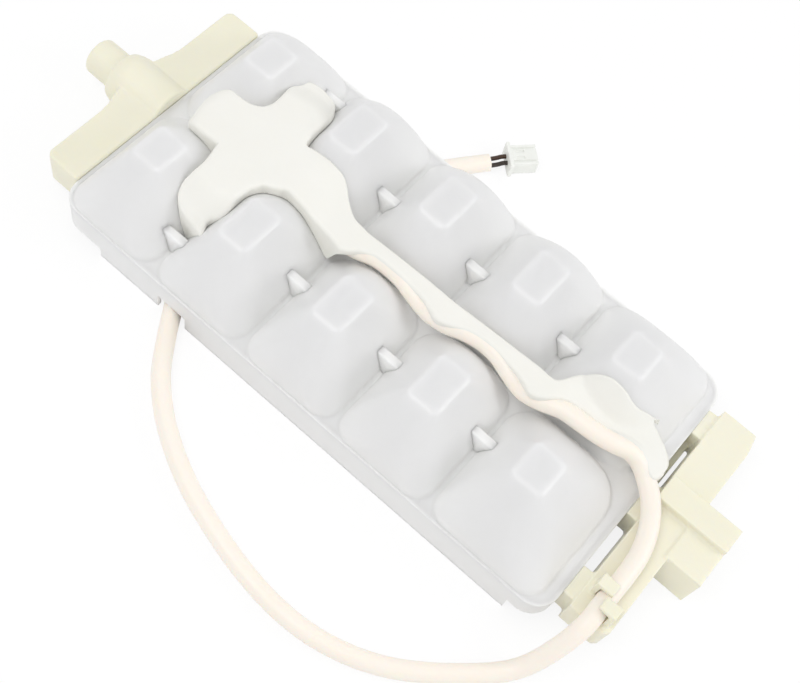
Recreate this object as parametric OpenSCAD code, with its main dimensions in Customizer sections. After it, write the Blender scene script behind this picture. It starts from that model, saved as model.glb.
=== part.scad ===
// Twist-release ice tray of an automatic ice maker, with its end fittings,
// its ice sensor and the sensor's cable. All lengths are millimetres.
// The tray lies upside down: its splash walls stand on z = 0 and the cup
// bottoms point up. X runs from the rear pin to the drive end, Y across the
// two rows of cups. Every place is worked out in tray coordinates, where the
// middle cups sit at x = 0, and then moved so that the whole part is centred.

/* [Cups] */
// Length of a cup at its rim, along the row
cup_len = 34; // [32:0.2:35]
// Gap between neighbouring cups of a row, at the ledge
cup_gap = 1; // [0.6:0.1:1.6]
// Width of a cup at its rim, across the row
cup_w = 45.6; // [44:0.2:47]
// Gap between the two rows, at the ledge
row_gap = 1; // [0.8:0.1:2]
// Depth of a cup, from the ledge to its bottom
cup_depth = 21.2; // [18:0.2:24]
// Length of the flat bottom of a cup
bottom_len = 10.4; // [8:0.2:13]
// Width of the flat bottom of a cup
bottom_w = 15.4; // [12:0.2:20]
// Width of the flat bottom of the four end cups
end_bottom_w = 12; // [10:0.2:16]
// Corner radius of a cup at its rim, towards the other row
cup_rim_r = 7; // [5:0.5:9]
// Corner radius of a cup at its rim, towards the splash wall
outer_rim_r = 3.6; // [2:0.2:6]
// Corner radius of a cup halfway down
cup_mid_r = 10.7; // [8:0.1:12]
// Corner radius of the flat bottom
cup_bottom_r = 1.6; // [1:0.1:3]
// Extra length of the last cups at their rim, towards the drive end
drive_reach = 5.5; // [4:0.5:7]
// Radius of the corner beside the cable at the last cups' drive end
drive_corner_r = 12; // [11:0.5:13]
// Bulge of the flanks between two cups, where 1 is straight
bulge_along = 1.1; // [1:0.1:2]
// Bulge of the flanks across the rows, where 1 is straight
bulge_across = 2; // [1.5:0.1:2.2]
// Bulge of the end cups' flanks across the rows
end_bulge_across = 1.6; // [1.4:0.1:2.2]
// Wall of the tray
wall = 1.4; // [1:0.1:1.8]

/* [Ledge and splash walls] */
// Height of the ledge above the surface, which is the splash wall's height
ledge_z = 15; // [13:0.5:17]
// Thickness of the ledge
ledge_t = 1.5; // [1.2:0.1:2]
// Ledge outside the cups, along the sides
side_margin = 0.7; // [0.5:0.1:2]
// Ledge outside the cups, at the rear end
rear_margin = 1.1; // [0.8:0.1:3]
// Ledge outside the cups, at the drive end
drive_margin = 8.5; // [8:0.5:11]
// Corner radius of the tray's outline
tray_corner_r = 7.5; // [5:0.5:9]
// Height of the end wall's lower edge at the drive end
drive_wall_z = 6.7; // [5:0.1:8]
// Height of the end wall's lower edge at the rear end
rear_wall_z = 4.6; // [3:0.1:6]
// Distance from the rear end to the splash walls
splash_rear_inset = 16.6; // [12:0.2:22]
// Distance from the drive end to the splash walls
splash_drive_inset = 10; // [9:0.5:16]
// Width of the two notches that let the cable pass under the splash walls
notch_w = 11; // [9:0.5:14]
// Height of the two notches
notch_h = 6.4; // [6.2:0.1:8]

/* [Weirs between cups] */
// Width of a weir, across the row
weir_w = 4.8; // [4:0.2:6.5]
// Height of a weir above the ledge
weir_h = 7; // [5:0.2:9]
// Distance of a weir from the middle of its row, towards the centre line
weir_in = 3.1; // [1:0.1:5]
// Distance of the weirs beside the sensor from the middle of their row, away from it
sensor_weir_out = 11.3; // [10.7:0.1:12.5]

/* [Pivot] */
// Height of the pivot axis
pivot_z = 9.5; // [9.4:0.1:10.5]
// Radius of the rear pin
pin_r = 6.2; // [5:0.1:7]
// Length of the rear pin
pin_len = 10.7; // [8:0.1:14]
// Radius of the round boss that the pin stands on
boss_r = 9.3; // [8:0.1:9.4]
// Length of the boss, outside the bar
boss_len = 6; // [4:0.2:8]

/* [Rear pivot bar] */
// Length of both bars, across the tray
bar_w = 79; // [70:1:84]
// Height of the underside of both bars
bar_z = 3.6; // [3:0.1:4.5]
// Height of both bars, underside to top
bar_h = 12.4; // [11:0.1:13.5]
// Thickness of the rear bar at its ends
rear_bar_t = 12.8; // [10:0.2:15]
// Extra thickness of the rear bar at the boss
rear_bar_swell = 2.5; // [1:0.1:4]
// Wall of both bars around their moulding pockets
bar_wall = 2.2; // [1.8:0.1:3]
// Chamfer of the bars' upright edges
bar_chamfer = 1.6; // [1:0.1:2]
// Gap between the rear bar and the tray's end wall
joint_gap = 0.1; // [0.05:0.05:0.4]

/* [Drive bracket] */
// Gap between the tray's end wall and the drive bar, bridged by ribs
slot_gap = 3.5; // [3:0.1:5]
// Distance from the centre line to the inner end of each slot
slot_inner_y = 6.5; // [5:0.5:8]
// Distance from the centre line to the outer end of each slot
slot_outer_y = 27; // [22:0.5:29]
// Width of the low ledge in the slot on the +Y side
slot_ledge_w = 2.2; // [1.5:0.1:2.5]
// Thickness of the drive bar
drive_bar_t = 13; // [11:0.5:15]
// Length of the drive hub, outside the bar
hub_len = 11.5; // [10:0.1:14]
// Width of the drive hub
hub_w = 20; // [18:0.5:22]
// Height of the drive hub, centred on the pivot axis
hub_h = 18.6; // [17:0.2:18.8]
// Height that the hub loses beside its raised pad
hub_step = 2.2; // [1:0.1:3]
// Radius of the drive socket
socket_r = 5; // [4:0.1:6]
// Depth of the drive socket
socket_depth = 14; // [10:0.5:18]
// Width of the two key slots in the socket's wall
key_w = 3; // [2:0.1:4]
// Depth of the two key slots
key_d = 1.6; // [1:0.1:2]

/* [Sensor cover] */
// Height of the cover's head above the surface
cover_z = 34; // [33:0.2:35.5]
// Wall of the cover
cover_wall = 1.6; // [1.2:0.1:2]
// Width of the arms along the rows
arm_x_w = 18; // [15:0.5:20]
// Width of the arms between the cups
arm_y_w = 17; // [14:0.5:18]
// Reach of the cover's rear arm from the sensor
arm_rear = 24; // [20:0.5:26]
// Reach of the side arms from the centre line
arm_side = 30; // [26:0.5:32]
// Drop of the head's arms towards their tips
arm_drop = 6; // [4:0.2:8]
// Height of the cover's strip above the surface
strip_z = 30; // [29.6:0.1:31]
// Thickness of the strip
strip_t = 2.2; // [1.8:0.1:2.6]
// Width of the strip
strip_w = 5.6; // [5:0.2:6.4]
// Reach of the strip's tabs beside it
tab_reach = 3.4; // [2.6:0.2:4]
// Distance from the end of the last cup's place to the start of the foot
foot_inset = 29; // [27:0.5:30]
// Drop of the foot from the strip to its far end
foot_drop = 6.6; // [5:0.2:7.4]
// Thickness of the foot
foot_t = 2; // [1.6:0.1:2.4]
// Gap between the cover and the cups
cover_gap = 0.15; // [0.05:0.05:0.4]

/* [Sensor] */
// Radius of the thermistor's capsule
capsule_r = 2.8; // [2.4:0.1:3.2]
// Length of the capsule
capsule_len = 7; // [6:0.5:7]
// Radius of the thermistor bead
bead_r = 1.1; // [0.8:0.1:1.4]
// Gap around the capsule and the bead
sensor_gap = 0.1; // [0.05:0.05:0.2]
// Radius of the foam plug that presses on the capsule
pad_plug_r = 3.4; // [3:0.1:3.4]
// Width of the foam pad under the cover's head
pad_w = 11; // [8:0.5:12]
// Thickness of the foam pad
pad_t = 4.4; // [3:0.1:5]

/* [Cable] */
// Outer diameter of the cable's sleeve
cable_d = 5.8; // [5.8:0.1:6]
// Diameter of one insulated wire
wire_d = 1.5; // [1.2:0.1:1.7]
// Distance between the two wires
wire_gap = 2.5; // [2.3:0.1:2.8]
// Thickness of the clip's two fingers
finger_t = 1.6; // [1.2:0.1:2]
// Width of each finger, along the cable
finger_w = 4; // [3:0.2:4.5]

/* [Connector] */
// Length of the connector's housing
plug_len = 9.8; // [8:0.2:12]
// Width of the housing
plug_w = 7.4; // [7:0.1:8.4]
// Height of the housing
plug_h = 5.8; // [5.6:0.1:7]
// Width of the rim at the wires' end
plug_rim_w = 9.6; // [9:0.1:11]
// Length of the rim
plug_rim_t = 1.2; // [0.8:0.1:1.6]
// Width of each of the two contact cavities
cavity_w = 1.7; // [1.5:0.05:1.8]
// Wall of a contact
contact_t = 0.3; // [0.2:0.05:0.4]

/* [Hidden] */
$fn = 64;

cups_per_row = 5;
rows = [-1, 1];
cup_rings = 5;      // rings below the rim of a cup
corner_steps = 5;   // steps in a quarter round
near_notch_x = -42.6;   // where the cable passes under the near splash wall
far_notch_x = -21;      // and under the far one
weir_len = 12;          // reaches into the walls of both cups

cup_pitch = cup_len + cup_gap;
row_pitch = cup_w + row_gap;
half_len = cups_per_row * cup_pitch / 2;
rear_x = -half_len - rear_margin;
drive_x = half_len + drive_margin;
half_w = (row_pitch + cup_w) / 2 + side_margin;
bottom_z = ledge_z + cup_depth;
bar_top = bar_z + bar_h;

rear_bar_in = rear_x - joint_gap;
rear_bar_end = rear_bar_in - rear_bar_t;
boss_x = rear_bar_end - rear_bar_swell;
pin_x = boss_x - boss_len;
pin_end = pin_x - pin_len;

drive_bar_x = drive_x + slot_gap;
hub_x = drive_bar_x + drive_bar_t;
hub_end = hub_x + hub_len;

centre_x = -(pin_end + hub_end) / 2;   // moves the tray coordinates to the part's own frame

sensor_x = -(cups_per_row / 2 - 1) * cup_pitch;   // the crossing between the first four cups
sensor_z = ledge_z + sensor_gap + capsule_r;
foot_x = half_len - foot_inset;                   // where the strip turns into the foot
foot_len = 38;
cable_r = cable_d / 2;
clip_mid_x = drive_bar_x + 6.5;
clip_places = [-30.4, -35.2];   // the two fingers, along the bar
clip_room = 0.3;                // around the cable, in the clip
clip_lift = 0.2;                // the cable's underside above the bar
finger_past = 0.6;              // the fingers reach past the cable's middle

pin_chamfer = 0.8;
swell_flat = 3;          // flat of the rear bar's swell, beside the boss
bar_taper = [1.2, 6.6];  // taper at the drive bar's far end
rib_drop = 1;            // the ribs' tops, under the bar's top
outer_rib_inset = 2.5;   // from the bar's end to the outer ribs
slot_ledge_h = 4;
pad_start = 1.75;        // the raised pad on the hub, from the centre line
key_short = 0.5;         // the key slots end before the socket's floor
pad_overhang = 0.5;      // and past the hub's side
bead_start = 1.5;        // from the capsule's end to the bead
pad_rear = 13;           // the foam pad's reach, from the capsule's middle
pad_front = 5;
tip_inset = 7;           // length of the sloping tips of the cover's arms
neck_x = 31;             // from the sensor to the end of the head
front_rise = 9;          // where the head's roof ends before the neck's end
strip_skew = 1.8;        // the strip's turn to the +Y side on its way to the foot
tab_from = -3.5;         // a tab's reach along the strip, from the gap between two cups
tab_to = 7.5;
foot_tilt_room = 2;      // the foot's plate past the tray's end
saddle_start_y = 5;      // where the foot's saddle begins, beside the strip
skirt_drop = 0.5;        // the top of the foot's wall, under its plate's far end
skirt_from = 2;          // from the end of the last cup's place to that wall
cavity_start = 0.8;      // from the housing's rim to the contacts
contact_mouth = 4;       // and to the mouth of a contact
contact_short = 1;       // a contact ends before the housing's front
contact_fit = 0.1;       // a contact's room in its cavity
key_groove = [2.4, 0.8, 0.6];   // the housing's grooves: place, width and depth

// Outlines of the cover's neck, tail and foot, from the sensor and from the foot's start
neck_outline = [[0, -9], [12.5, -9], [16.2, -6.6], [23.2, -6.6], [31, -7.2], [31, 6.2], [27, 9.4],
    [24.2, 10.8], [21.6, 11.2], [17.8, 11], [12, 10.4], [0, 9]];
tail_outline = [[26.5, -6.4], [38.5, -8.4], [41, -8.3], [42, -3.4], [42, 2.4], [35.8, 2.8], [29.5, 6.6],
    [26.5, 8.8]];
foot_outline = [[-1, -0.8], [-1, 4.6], [1.6, 9.3], [4.7, 12.2], [8.3, 13], [18, 13], [22, 14.8],
    [26.2, 16.8], [29, 19.5], [31.6, 18.4], [34, 17], [36.7, 14.8], [38, 11], [38, 3], [34.6, 2.8],
    [31.2, 4.8], [26.4, 4.6], [21, 5.2], [14.9, 4.4], [7.1, 2.8], [3, 0.2]];

function cup_x(i) = (i - (cups_per_row - 1) / 2) * cup_pitch;

// ---- The cable's route, in tray coordinates -----------------------------
// Held part: from the sensor under the cover's strip, over the drive bar to the clip
run_route = [[-49, 0, 17.9], [-47.9, 0, 17.9], [-46.9, 0, 19], [-46, 0, 20.9], [-45, 0, 22.8],
    [-43.4, 0, 24.5], [-41.3, 0, 25.5], [-38.5, -0.1, 26.3], [-34.5, -0.2, 26.8], [-29, -0.8, 26.8],
    [-23, -2.2, 26], [-17, -3.3, 25.4],
    [-11, -2.8, 26.2], [-5.5, -1.4, 27], [0, -1, 27.1], [5.5, -1.4, 27], [11, -2.4, 26.2],
    [17, -3.2, 25.4], [23, -2.8, 25.9], [28, -1.4, 26.8], [34, -0.2, 26.9], [40, -0.4, 26.8],
    [46, -1.8, 25.8], [52, -2.8, 24.8], [58, -1.8, 25.2], [64, -0.2, 26.4], [70, 0.2, 26.8],
    [76, 0.8, 26.7], [81, 2.3, 25.8], [85.5, 4.4, 24.3], [89.5, 4.7, 22.3], [94, 2.8, 20.5],
    [99, -1.6, 19.9], [103, -8, 19.6], [105.4, -15.5, 19.3], [106, -23, 19.1],
    [105.9, -29.5, 19.1], [105.9, -35, 19.1]];
drawn_down = [1.8, 1.7, 1.4, 0.9, 0.3];    // off the sleeve's diameter at its first points
// Free part: down to the surface, round the side and under the tray to the wires
loop_route = [[105.9, -35, 19.1], [105.9, -39.8, 19.1], [105.5, -44.2, 17.2], [104.4, -49, 13.2],
    [102.6, -54, 8.4], [100, -58.6, 4.8], [96, -63.4, 3.1], [90, -69.2, 2.95], [82, -76, 2.95],
    [72.5, -82.4, 2.95], [62, -87, 2.95], [50, -89.8, 2.95], [37, -90.2, 2.95],
    [24, -88.6, 2.95], [11, -85.6, 2.95], [-1, -81.8, 2.95], [-12, -76.8, 2.95],
    [-22, -70.6, 2.95], [-30.5, -63.2, 2.95], [-37, -54.8, 2.95], [-42.6, -46.4, 2.95],
    [-48, -38, 2.95], [-52, -28.4, 2.95], [-54, -17.6, 2.95], [-53.6, -6.4, 2.95],
    [-50.4, 4.6, 2.95], [-45, 14.6, 2.95], [-38.4, 23.8, 2.95], [-31.6, 32.4, 2.95],
    [-25, 41.2, 2.95], [-19, 49.4, 2.95], [-13.7, 57, 2.95], [-8.4, 64.4, 2.95]];
plug_start = [-4.9, 69.6, 2.95];       // middle of the housing's end where the wires enter
plug_angle = 48.5;                     // direction of the housing on the surface
sleeve_angle = 54.4;                   // direction of the sleeve's end

// ---- Helpers ------------------------------------------------------------
module place_part() {
    translate([centre_x, 0, 0]) children();
}

// A box from one corner to the other
module box(lo, hi) {
    translate([0, 0, lo[2]]) linear_extrude(hi[2] - lo[2])
        polygon([[lo[0], lo[1]], [hi[0], lo[1]], [hi[0], hi[1]], [lo[0], hi[1]]]);
}

// One ring of a rounded rectangle, from x0 to x1, with a radius for each of its four corners
function ring(x0, x1, w, r, z) = [for (q = [0:3]) for (k = [0:corner_steps])
    let (a = 90 * (q + k / corner_steps),
        mid_x = (q == 0 || q == 3) ? x1 - r[q] : x0 + r[q],
        mid_y = (q < 2) ? w / 2 - r[q] : r[q] - w / 2)
    [mid_x + r[q] * cos(a), mid_y + r[q] * sin(a), z]];

// A solid through rings of the same number of points
module loft(rings) {
    n = len(rings[0]);
    last = len(rings) - 1;
    sides = [for (j = [0:last - 1]) for (i = [0:n - 1])
        let (a = j * n + i, b = j * n + (i + 1) % n)
        each [[a, a + n, b + n], [a, b + n, b]]];
    ends = [[for (i = [0:n - 1]) i], [for (i = [n - 1:-1:0]) last * n + i]];
    polyhedron(points = [for (one = rings) each one], faces = concat(sides, ends), convexity = 8);
}

// Direction of a route at one of its points
function heading(route, i) =
    let (d = route[min(i + 1, len(route) - 1)] - route[max(i - 1, 0)]) d / norm(d);

// A tube of round section along a route, thinner by a list at its first points
module tube(route, d, sides, thinner = []) {
    loft([for (i = [0:len(route) - 1])
        let (t = heading(route, i),
            across = cross([0, 0, 1], t),
            u = across / norm(across),
            v = cross(t, u),
            r = (d - (i < len(thinner) ? thinner[i] : 0)) / 2)
        [for (k = [0:sides - 1]) let (a = 360 * k / sides)
            route[i] + r * (cos(a) * u + sin(a) * v)]]);
}

// Corner radii of a cup at a share u of its depth, in the ring's order. The last cups have a wider
// corner beside the cable.
function corner_radii(last, side, u, shrink) =
    let (beside_cable = last ? drive_corner_r : cup_rim_r,
        rim = side > 0 ? [outer_rim_r, outer_rim_r, cup_rim_r, beside_cable]
            : [beside_cable, cup_rim_r, outer_rim_r, outer_rim_r])
    [for (r = rim)
        let (mid = max(cup_mid_r, r))
        max(0.4, r * (1 - u) + cup_bottom_r * u + 4 * u * (1 - u) * (mid - (r + cup_bottom_r) / 2) - shrink)];

// Solid of cup number i of a row. shrink takes its surface inwards, and below runs it down past
// the ledge's top. Its flanks bulge by a power of the depth, from the rim to the flat bottom.
module cup_form(i, side, shrink, below) {
    last = i == cups_per_row - 1;
    at_end = i == 0 || last;
    flat_w = at_end ? end_bottom_w : bottom_w;
    across = at_end ? end_bulge_across : bulge_across;
    rear = cup_len / 2;
    front = rear + (last ? drive_reach : 0);
    translate([cup_x(i), side * row_pitch / 2, ledge_z]) loft(concat(
        [ring(shrink - rear, front - shrink, cup_w - 2 * shrink,
            corner_radii(last, side, 0, shrink), -below)],
        [for (k = [0:cup_rings])
            let (u = k / cup_rings, share = 1 - pow(u, bulge_along))
            ring(shrink - bottom_len / 2 - (rear - bottom_len / 2) * share,
                bottom_len / 2 + (front - bottom_len / 2) * share - shrink,
                flat_w + (cup_w - flat_w) * (1 - pow(u, across)) - 2 * shrink,
                corner_radii(last, side, u, shrink),
                u * (cup_depth - shrink))]));
}

module all_cups(shrink, below) {
    for (i = [0:cups_per_row - 1])
        for (side = rows)
            cup_form(i, side, shrink, below);
}

// Outline of the tray, taken inwards by an inset
module tray_outline(inset) {
    offset(r = tray_corner_r - inset)
        translate([rear_x + tray_corner_r, -half_w + tray_corner_r])
            square([drive_x - rear_x - 2 * tray_corner_r, 2 * half_w - 2 * tray_corner_r]);
}

// The ledge and the walls that hang from it, before the cups are added
module ledge_and_walls() {
    difference() {
        linear_extrude(ledge_z) tray_outline(0);
        translate([0, 0, -1]) linear_extrude(ledge_z - ledge_t + 1) tray_outline(wall);
        box([rear_x - 1, -half_w - 1, -1], [rear_x + splash_rear_inset, half_w + 1, rear_wall_z]);
        box([drive_x - splash_drive_inset, -half_w - 1, -1], [drive_x + 1, half_w + 1, drive_wall_z]);
        cable_notch(near_notch_x, -half_w);
        cable_notch(far_notch_x, half_w);
    }
}

function weir_place(i) = row_pitch / 2 + (i == 0 ? sensor_weir_out : -weir_in);

// ---- Pieces -------------------------------------------------------------
module ice_tray() {
    color("gainsboro") place_part() difference() {
        union() {
            ledge_and_walls();
            all_cups(0, ledge_t / 2);
            all_weirs(weir_w, weir_len, ledge_z - ledge_t / 2, weir_h);
        }
        all_cups(wall, ledge_t + 1);
        all_weirs(weir_w - 2 * wall, weir_len + 5, ledge_z - ledge_t - 1, weir_h - wall);
    }
}

// Raised channels that let water run from one cup to the next
module all_weirs(w, len, z, h) {
    for (i = [0:cups_per_row - 2])
        for (side = rows)
            translate([(cup_x(i) + cup_x(i + 1)) / 2 - len / 2, side * weir_place(i) - w / 2, z])
                cube([len, w, ledge_z + h - z]);
}

module cable_notch(x, y) {
    translate([x - notch_w / 2, y - 4, -1]) cube([notch_w, 8, notch_h + 1]);
}

// Plan of the rear bar, thicker at its middle, with chamfered ends
module rear_bar_plan() {
    c = bar_chamfer;
    half = bar_w / 2;
    swell = boss_r + swell_flat;
    polygon([[rear_bar_in, -half], [rear_bar_end + c, -half], [rear_bar_end, -half + c], [boss_x, -swell],
        [boss_x, swell], [rear_bar_end, half - c], [rear_bar_end + c, half], [rear_bar_in, half]]);
}

module rear_pivot_bar() {
    color("cornsilk") place_part() {
        difference() {
            union() {
                translate([0, 0, bar_z]) linear_extrude(bar_h) rear_bar_plan();
                along_x(pin_x, rear_bar_in - joint_gap, boss_r);
            }
            for (side = rows)
                for (k = [0:1])
                    moulding_pocket(rear_bar_end + bar_wall, rear_bar_in - bar_wall, side, k);
        }
        along_x(pin_end + pin_chamfer, pin_x + 1, pin_r);
        translate([pin_end, 0, pivot_z]) rotate([0, 90, 0])
            cylinder(h = pin_chamfer, r1 = pin_r - pin_chamfer, r2 = pin_r);
    }
}

// A round bar on the pivot axis
module along_x(x0, x1, r) {
    translate([x0, 0, pivot_z]) rotate([0, 90, 0]) cylinder(h = x1 - x0, r = r);
}

// One of two pockets that open downwards on each side of a bar's middle
module moulding_pocket(x0, x1, side, k) {
    inner = boss_r + bar_wall;
    room = bar_w / 2 - bar_wall - inner;
    step = room / 2;
    y0 = inner + k * step;
    lo = min(side * y0, side * (y0 + step - bar_wall * (1 - k)));
    hi = max(side * y0, side * (y0 + step - bar_wall * (1 - k)));
    box([x0, lo, bar_z - 1], [x1, hi, bar_top - bar_wall]);
}

module drive_bracket() {
    hub_half = hub_w / 2;
    hub_low = pivot_z - hub_h / 2;
    hub_top = pivot_z + hub_h / 2;
    color("cornsilk") place_part() {
        difference() {
            union() {
                translate([0, 0, bar_z]) linear_extrude(bar_h) drive_bar_plan();
                box([drive_x, -slot_inner_y, bar_z], [drive_bar_x, slot_inner_y, bar_top - rib_drop]);
                for (side = rows)
                    outer_rib(side);
                box([drive_x, slot_inner_y, bar_z],
                    [drive_x + slot_ledge_w, slot_outer_y, bar_z + slot_ledge_h]);
                box([hub_x, -hub_half, hub_low], [hub_end, hub_half + pad_overhang, hub_top - hub_step]);
                box([drive_bar_x, pad_start, bar_z], [hub_end, hub_half + pad_overhang, hub_top]);
            }
            for (side = rows)
                for (k = [0:1])
                    moulding_pocket(drive_bar_x + bar_wall, hub_x - bar_wall, side, k);
            along_x(hub_end - socket_depth, hub_end + 1, socket_r);
            box([hub_end - socket_depth + key_short, -key_w / 2, pivot_z - socket_r - key_d],
                [hub_end + 1, key_w / 2, pivot_z + socket_r + key_d]);
        }
        clip_finger(clip_places[0], -1);
        clip_finger(clip_places[1], 1);
    }
}

// Rib that ties the drive bar to the tray's end wall beyond a slot
module outer_rib(side) {
    in = side * slot_outer_y;
    out = side * (bar_w / 2 - outer_rib_inset);
    box([drive_x, min(in, out), bar_z], [drive_bar_x, max(in, out), bar_top - rib_drop]);
}

// Plan of the drive bar, tapered at its far end
module drive_bar_plan() {
    c = bar_chamfer;
    half = bar_w / 2;
    polygon([[drive_bar_x, -half], [hub_x - c, -half], [hub_x, -half + c],
        [hub_x, half - bar_taper[1]], [hub_x - bar_taper[0], half], [drive_bar_x, half]]);
}

// A hook that stands beside the cable and reaches over half of it
module clip_finger(y, side) {
    post = cable_r + clip_room;
    x0 = side < 0 ? clip_mid_x - post - finger_t : clip_mid_x + post;
    top = bar_top + clip_lift + cable_d + clip_room;
    y0 = y - finger_w / 2;
    box([x0, y0, bar_top - 1], [x0 + finger_t, y0 + finger_w, top + finger_t]);
    box([side < 0 ? x0 : clip_mid_x - finger_past, y0, top],
        [side < 0 ? clip_mid_x + finger_past : x0 + finger_t, y0 + finger_w, top + finger_t]);
}

// Plan of the cover's head: four arms that follow the gaps between the cups
module head_plan(inset) {
    round_r = 2.5;
    offset(r = round_r) offset(delta = -round_r - inset) union() {
        translate([sensor_x - arm_rear, -arm_x_w / 2]) square([arm_rear + arm_y_w / 2, arm_x_w]);
        translate([sensor_x - arm_y_w / 2, -arm_side]) square([arm_y_w, 2 * arm_side]);
        translate([sensor_x, 0]) polygon(neck_outline);
    }
}

// Space under the head's top, which falls towards the tips of the arms
module head_roof(sink) {
    low = cover_z - arm_drop - sink;
    rear = sensor_x - arm_rear;
    front = sensor_x + neck_x;
    hull() {
        box([rear - 1, -arm_side - 1, 0], [front, arm_side + 1, low]);
        box([rear + tip_inset, -arm_side + tip_inset, 0],
            [front - front_rise, arm_side - tip_inset, cover_z - sink]);
    }
}

module sensor_cover() {
    color("whitesmoke") place_part() difference() {
        union() {
            difference() {
                intersection() {
                    translate([0, 0, ledge_z + 1]) linear_extrude(cover_z) head_plan(0);
                    head_roof(0);
                }
                intersection() {
                    linear_extrude(cover_z) head_plan(cover_wall);
                    head_roof(cover_wall);
                }
            }
            translate([0, 0, strip_z - strip_t]) linear_extrude(strip_t) strip_plan();
            foot();
        }
        all_cups(-cover_gap, 0);
        tube(run_route, cable_d + 2 * cover_gap, 12);
        capsule_space(2 * sensor_gap);
    }
}

// Plan of the strip over the cable, with a tab over the cable where the cups part
module strip_plan() {
    first = sensor_x + neck_x;
    half = strip_w / 2;
    tab_tip = -half - tab_reach;
    translate([sensor_x, 0]) polygon(tail_outline);
    polygon([[first, -half], [foot_x, strip_skew - half], [foot_x + 2, strip_skew + half], [first, half]]);
    for (i = [2:cups_per_row - 2])
        translate([(cup_x(i) + cup_x(i + 1)) / 2, 0])
            polygon([[tab_from, 0], [tab_from, -half], [2, tab_tip], [4.5, tab_tip], [tab_to, 0]]);
}

// The foot leads the cable off the tray: a sloping plate, and a saddle on the flank of the last cup
module foot() {
    slope = atan(foot_drop / foot_len);
    intersection() {
        translate([foot_x, 0, strip_z]) rotate([0, slope, 0])
            translate([0, 0, -foot_t]) linear_extrude(foot_t) translate([-foot_x, 0]) foot_plan(0, 0);
        box([0, -half_w, 0], [drive_x + foot_tilt_room, half_w, cover_z]);
    }
    intersection() {
        translate([0, 0, ledge_z + 1]) linear_extrude(cup_depth) foot_plan(0, 0);
        cup_form(cups_per_row - 1, 1, -cover_gap - cover_wall, 0);
        box([0, saddle_start_y, 0], [drive_x, row_pitch, cover_z]);
    }
    // the wall that stands on the ledge beyond the last cup
    wall_h = strip_z - foot_drop - ledge_z - skirt_drop;
    translate([0, 0, ledge_z + cover_gap]) linear_extrude(wall_h) difference() {
        foot_plan(0, half_len + skirt_from);
        foot_plan(cover_wall, 0);
    }
}

// Plan of the foot, taken inwards by an inset and kept beyond a start
module foot_plan(inset, start) {
    intersection() {
        offset(delta = -inset) translate([foot_x, 0]) polygon(foot_outline);
        translate([start, -half_w]) square([drive_x + 1 - start, 2 * half_w]);
    }
}

module insulation_pad() {
    roof = cover_z - cover_wall;
    color("lightgrey") place_part() difference() {
        union() {
            translate([sensor_x, 0, sensor_z]) cylinder(h = roof - sensor_z, r = pad_plug_r);
            box([sensor_x - pad_rear, -pad_w / 2, roof - pad_t], [sensor_x + pad_front, pad_w / 2, roof]);
        }
        capsule_space(sensor_gap);
    }
}

// The room that the capsule takes, with a gap around it
module capsule_space(gap) {
    translate([sensor_x - capsule_len / 2 - gap, 0, sensor_z]) rotate([0, 90, 0])
        cylinder(h = capsule_len + 2 * gap, r = capsule_r + gap);
    box([sensor_x - capsule_len / 2 - gap, -capsule_r - gap, 0],
        [sensor_x + capsule_len / 2 + 4, capsule_r + gap, sensor_z]);
}

module thermistor_capsule() {
    start = sensor_x - capsule_len / 2;
    color("dimgray") place_part() difference() {
        translate([start, 0, sensor_z]) rotate([0, 90, 0]) cylinder(h = capsule_len, r = capsule_r);
        translate([start + bead_start, 0, sensor_z]) rotate([0, 90, 0])
            cylinder(h = 2 * bead_r + 1, r = bead_r + sensor_gap);
    }
}

module thermistor_bead() {
    color("black") place_part()
        translate([sensor_x - capsule_len / 2 + bead_start, 0, sensor_z]) rotate([0, 90, 0])
            cylinder(h = 2 * bead_r, r = bead_r);
}

module cable_run() {
    color("antiquewhite") place_part() tube(run_route, cable_d, 12, drawn_down);
}

module cable_loop() {
    color("antiquewhite") place_part() tube(loop_route, cable_d, 12);
}

// The frame of the connector: x along the housing, y across it
module at_plug() {
    place_part() translate(plug_start) rotate([0, 0, plug_angle]) children();
}

// One wire from the end of the sleeve into the housing
module wire(side) {
    sleeve_end = loop_route[len(loop_route) - 1];
    start = sleeve_end + side * wire_gap / 2 * [-sin(sleeve_angle), cos(sleeve_angle), 0];
    finish = plug_start + side * wire_gap / 2 * [-sin(plug_angle), cos(plug_angle), 0];
    ahead = [cos(sleeve_angle), sin(sleeve_angle), 0];
    place_part() tube([start, start + 1.5 * ahead, (start + finish) / 2 + 0.2 * ahead,
        finish - 1.5 * [cos(plug_angle), sin(plug_angle), 0], finish], wire_d, 8);
}

module wire_brown() {
    color("saddlebrown") wire(1);
}

module wire_black() {
    color("black") wire(-1);
}

module connector_housing() {
    low = -plug_start[2] + 0.05;
    color("white") at_plug() difference() {
        union() {
            box([0, -plug_w / 2, low], [plug_len, plug_w / 2, low + plug_h]);
            box([0, -plug_rim_w / 2, low], [plug_rim_t, plug_rim_w / 2, low + plug_h + 0.6]);
        }
        for (side = rows) {
            box([cavity_start, side * wire_gap / 2 - cavity_w / 2, -cavity_w / 2],
                [plug_len + 1, side * wire_gap / 2 + cavity_w / 2, cavity_w / 2]);
            // keying grooves along the top
            translate([plug_rim_t, side * key_groove[0] - key_groove[1] / 2, low + plug_h - key_groove[2]])
                cube([plug_len, key_groove[1], 1 + key_groove[2]]);
        }
    }
}

// A crimped contact, open at its front for the pin
module contact(side) {
    half = (cavity_w - contact_fit) / 2;
    room = half - contact_t;
    at_plug() translate([0, side * wire_gap / 2, 0]) difference() {
        box([cavity_start, -half, -half], [plug_len - contact_short, half, half]);
        box([contact_mouth, -room, -room], [plug_len, room, room]);
    }
}

module contact_brown() {
    color("goldenrod") contact(1);
}

module contact_black() {
    color("goldenrod") contact(-1);
}

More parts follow.
